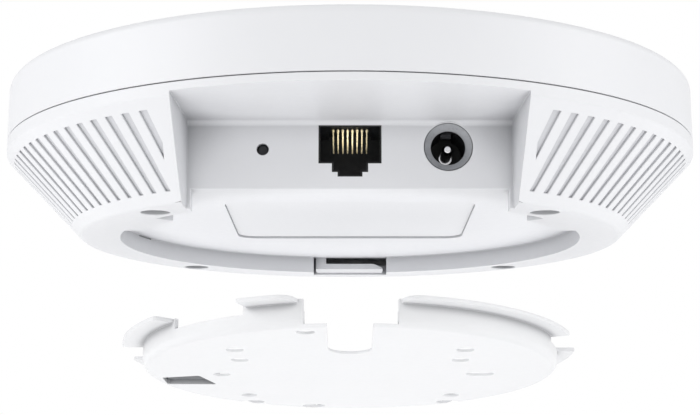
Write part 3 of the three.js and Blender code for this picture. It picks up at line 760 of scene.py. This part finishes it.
def make_bracket():
    inner = BRACKET_R - RIM
    outline = rounded(
        [
            (0, 0),
            (BRACKET_R, 0, 1.7),
            (BRACKET_R, RIM_Z),
            (inner, RIM_Z),
            (inner, PLATE, 0.5),
            (0, PLATE),
        ]
    )
    ends = {a for hook in HOOKS for a in hook[0]}
    plate = turned("plate", outline, sorted({*ends, *FACET_DEGREES}))
    cut(plate, sector("gap", inner - 1, BRACKET_R + 1, *RIM_GAP, PLATE, RIM_Z + 1))
    for wall, lip, lip_r, corners in HOOKS:
        join(plate, sector("wall", BRACKET_R - HOOK_WALL, BRACKET_R, *wall, HOOK_FOOT_Z, LIP_HIGH))
        join(plate, lip_shape(*lip, lip_r, corners))
    cut(plate, prism("cable", cable_notch(), -1, 9))
    join(plate, prism("hood", HOOD, PLATE - 0.1, HOOD_TOP_Z))
    cut(plate, prism("window", rounded(WINDOW), -1, WINDOW_TOP_Z))
    cut(plate, sector("latch", inner - 1, LIP_R + 1, *FINGER_GAP, PLATE, 9))
    spots = [circle(side * x, y, HOLE_R, 40) for x, y in PAIRED_HOLES for side in (-1, 1)]
    spots += [circle(*hole, 40) for hole in SINGLE_HOLES]
    spots += [pill(*hole) for hole in LONG_HOLES]
    for spot in spots:
        cut(plate, prism("hole", spot, -1, 3))
    soften(plate, 0.15)
    return bracket_piece(plate, "mounting_bracket_plate", ["mounting_bracket"])


def make_hood_painted_shade():
    """A dark grey sheet on the bottom of the hood: painted shade, seen through the bracket's window."""
    floor = prism("floor", HOOD_FLOOR, PLATE + 0.35, WINDOW_TOP_Z - GAP)
    bracket_piece(floor, "mounting_bracket_hood_painted_shade")
    floor.material_slots[0].material = HOOD_SHADE_GREY


def make_latch():
    finger = sector("finger", BRACKET_R - RIM, BRACKET_R, *FINGER, PLATE + GAP, FINGER_TOP_Z)
    join(finger, sector("bump", BRACKET_R - 1, BRACKET_R + 1.8, *FINGER_BUMP, 3.4, FINGER_TOP_Z))
    soften(finger, 0.15)
    return bracket_piece(finger, "bracket_latch_finger", ["bracket_latch"], "bracket_latch")


# ---- ports ----
def stepped_outline(shrink):
    """The outline of the modular socket's opening, drawn in by this much."""
    right, top = [], JACK_TOP_Z - shrink
    for half, low in JACK_BOXES:
        right += [(half - shrink, top), (half - shrink, low + shrink)]
        top = low + shrink
    left = [(-x, z) for x, z in reversed(right)]
    return right + left


def make_collar():
    """The black lining of the modular socket's opening in the port wall."""
    front, back = PORT_WALL_Y, PORT_WALL_Y + PORT_SHELL
    collar = prism("collar", stepped_outline(0.02), front + 0.08, back + 0.3, FRONTWARD)
    cut(collar, prism("inside", stepped_outline(0.34), front - 1, back + 1, FRONTWARD))
    return finished(collar, "ethernet_jack_collar", "jack_black")


CONTACT_PATH = (  # y, z and radius along a contact, from its knee to its tail
    (-43.3, 17.55, 0.1),
    (-43.1, 17.4, 0.27),
    (-42.7, 17.2, 0.27),
    (-42.3, 17.0, 0.17),
    (-35.4, 14.1, 0.17),
    (-35.2, 14.0, 0.05),
)


def make_wire(x, sides=10):
    """One contact, as a closed tube along its path."""
    points = []
    for y, z, radius in CONTACT_PATH:
        for i in range(sides):
            a = 2 * math.pi * i / sides
            rise = radius * math.sin(a)
            points.append((x + radius * math.cos(a), y + rise * 0.4, z + rise))
    last = len(points) - sides
    faces = [list(range(sides)), list(range(last, len(points)))]
    for row in range(0, last, sides):
        for i in range(sides):
            j = (i + 1) % sides
            faces.append([row + i, row + j, row + sides + j, row + sides + i])
    return outward(mesh_object("wire", points, faces))


def make_contacts():
    """Eight round spring wires, each with a bright knee at its front."""
    for k in range(8):
        wire = make_wire((k - 3.5) * CONTACT_PITCH)
        name = f"ethernet_contact_{k + 1}"
        finished(wire, name + "_wire", "contact_gold", "ethernet_contacts", [name])


def make_flange():
    """The bright ring at the bottom of the barrel jack, round the foot of its pin."""
    x, z = POWER
    outline = rounded([(1.0, 0), (1.62, 0, 0.2), (1.62, 0.5), (1.0, 0.5)])
    ring = turned("flange", outline, full_turn(48))
    ring.data.transform(lying(x + 0.05, -34.2, z))
    return finished(ring, "power_jack_flange", "pin_chrome")


def make_bezel():
    """The grey cone round the barrel jack's mouth."""
    x, z = POWER
    outer, bore = 4.97, 3.65
    outline = [(bore, 1.35), (bore, 1.8), (outer, 1.8), (outer, 0.05)]
    ring = turned("bezel", outline, full_turn(96))
    ring.data.transform(lying(x, PORT_WALL_Y, z))
    return finished(ring, "power_jack_collar", "bezel_grey", nodes=["power_jack_bezel"])


def make_pin():
    x, z = POWER
    radius = 1.15
    outline = rounded([(0, 0), (0.75, 0, 0.35), (radius, 1.1, 0.4), (radius, 11.6), (0, 11.6)])
    pin = turned("pin", outline, full_turn(64))
    pin.data.transform(lying(x, -43.3, z))
    return finished(pin, "power_jack_centre_pin", "pin_chrome", nodes=["power_jack_pin"])


def make_label():
    near, far = LABEL_Y
    edge = 0.05
    half = LABEL_HALF - edge
    low = RECESS_Z + LABEL_DEPTH
    label = rounded_box(-half, half, near + edge, far - edge, LABEL_CORNER - edge, low, low + 0.3)
    soften(label, 0.08)
    return finished(label, "rating_label_plate", "label_white", nodes=["rating_label"])


def make_screws():
    """The case screws, head down in their wells, each with a cross recess."""
    for i, place in enumerate(WELLS):
        x, y = around(*place)
        head = [(0, 4.8), (2.7, 4.8, 0.6), (2.7, 6.9, 0.15)]
        shank = [(1.35, 6.9), (1.35, 17.4, 0.2), (0, 18)]
        screw = turned("screw", rounded(head + shank), full_turn(48))
        for half_x, half_y in ((1.6, 0.35), (0.35, 1.6)):
            cut(screw, block(-half_x, half_x, -half_y, half_y, 4, 5.9))
        screw.data.transform(Matrix.Translation((x * MM, y * MM, 0)))
        soften(screw, 0.06)
        name = f"case_screw_{i + 1}"
        finished(screw, name + "_steel", "screw_steel", nodes=[name])


# ---- stage, light and camera ----
def make_stage():
    half, z = 3000, -78
    corners = [(-half, -half, z), (half, -half, z), (half, half, z), (-half, half, z)]
    floor = mesh_object("studio_floor", corners, [[0, 1, 2, 3]])
    paint = Paint("studio floor", (0.9, 0.9, 0.9), 0.8)
    paint.tint(paint.noise(400, 2), (0.89, 0.89, 0.89))
    floor.data.materials.append(paint.material)


def add_softbox(name, place, target, size, radiance, spread=180):
    """A round lamp in metres. Its power is worked out from the radiance of its face."""
    light = bpy.data.lights.new(name, "AREA")
    light.shape = "DISK"
    light.size = size
    light.energy = radiance * math.pi * math.pi * (size / 2) ** 2
    light.spread = math.radians(spread)
    lamp = bpy.data.objects.new(name, light)
    bpy.context.scene.collection.objects.link(lamp)
    lamp.location = place
    lamp.rotation_euler = (Vector(target) - Vector(place)).to_track_quat("-Z", "Y").to_euler()
    lamp.visible_camera = False


def make_light():
    """A pale world that the camera sees as white, and soft lamps."""
    world = bpy.data.worlds.new("studio")
    bpy.context.scene.world = world
    world.use_nodes = True
    nodes, links = world.node_tree.nodes, world.node_tree.links
    background = nodes["Background"]
    background.inputs["Color"].default_value = (1, 1, 1, 1)
    background.inputs["Strength"].default_value = 0.74
    seen = nodes.new("ShaderNodeBackground")
    seen.inputs["Color"].default_value = (1, 1, 1, 1)
    path = nodes.new("ShaderNodeLightPath")
    mix = nodes.new("ShaderNodeMixShader")
    links.new(path.outputs["Is Camera Ray"], mix.inputs["Fac"])
    links.new(background.outputs["Background"], mix.inputs[1])
    links.new(seen.outputs["Background"], mix.inputs[2])
    links.new(mix.outputs["Shader"], nodes["World Output"].inputs["Surface"])
    add_softbox("under", (0, 0, -0.077), (0, 0, 0), 0.9, 0.33)
    add_softbox("recess", (0, 0.005, -0.012), (0, 0.005, 0), 0.1, 0.31, 60)
    add_softbox("left", (-0.85, -0.35, 0.35), (0, 0, 0), 0.8, 2.3)
    add_softbox("right", (0.85, -0.35, 0.35), (0, 0, 0), 0.8, 1.9)
    add_softbox("back", (0, 1.0, 0.3), (0, 0, 0), 0.9, 1.0)
    add_softbox("socket", (0, -0.0443, 0.0092), (0, -0.0395, 0.017), 0.003, 18, 80)


def make_camera():
    data = bpy.data.cameras.new("camera")
    data.sensor_width = 36
    data.lens = 82.2
    camera = bpy.data.objects.new("camera", data)
    bpy.context.scene.collection.objects.link(camera)
    camera.location = (0, -0.3733, -0.0574)
    camera.rotation_euler = (math.radians(100), 0, 0)
    bpy.context.scene.camera = camera
    bpy.context.scene.view_settings.view_transform = "Standard"


make_camera()
make_light()
make_stage()
dress_nodes()
make_housing()
make_vent_floor()
make_cover()
make_label()
make_screws()
make_bezel()
make_pin()
make_flange()
make_collar()
make_contacts()
make_bracket()
make_hood_painted_shade()
make_latch()
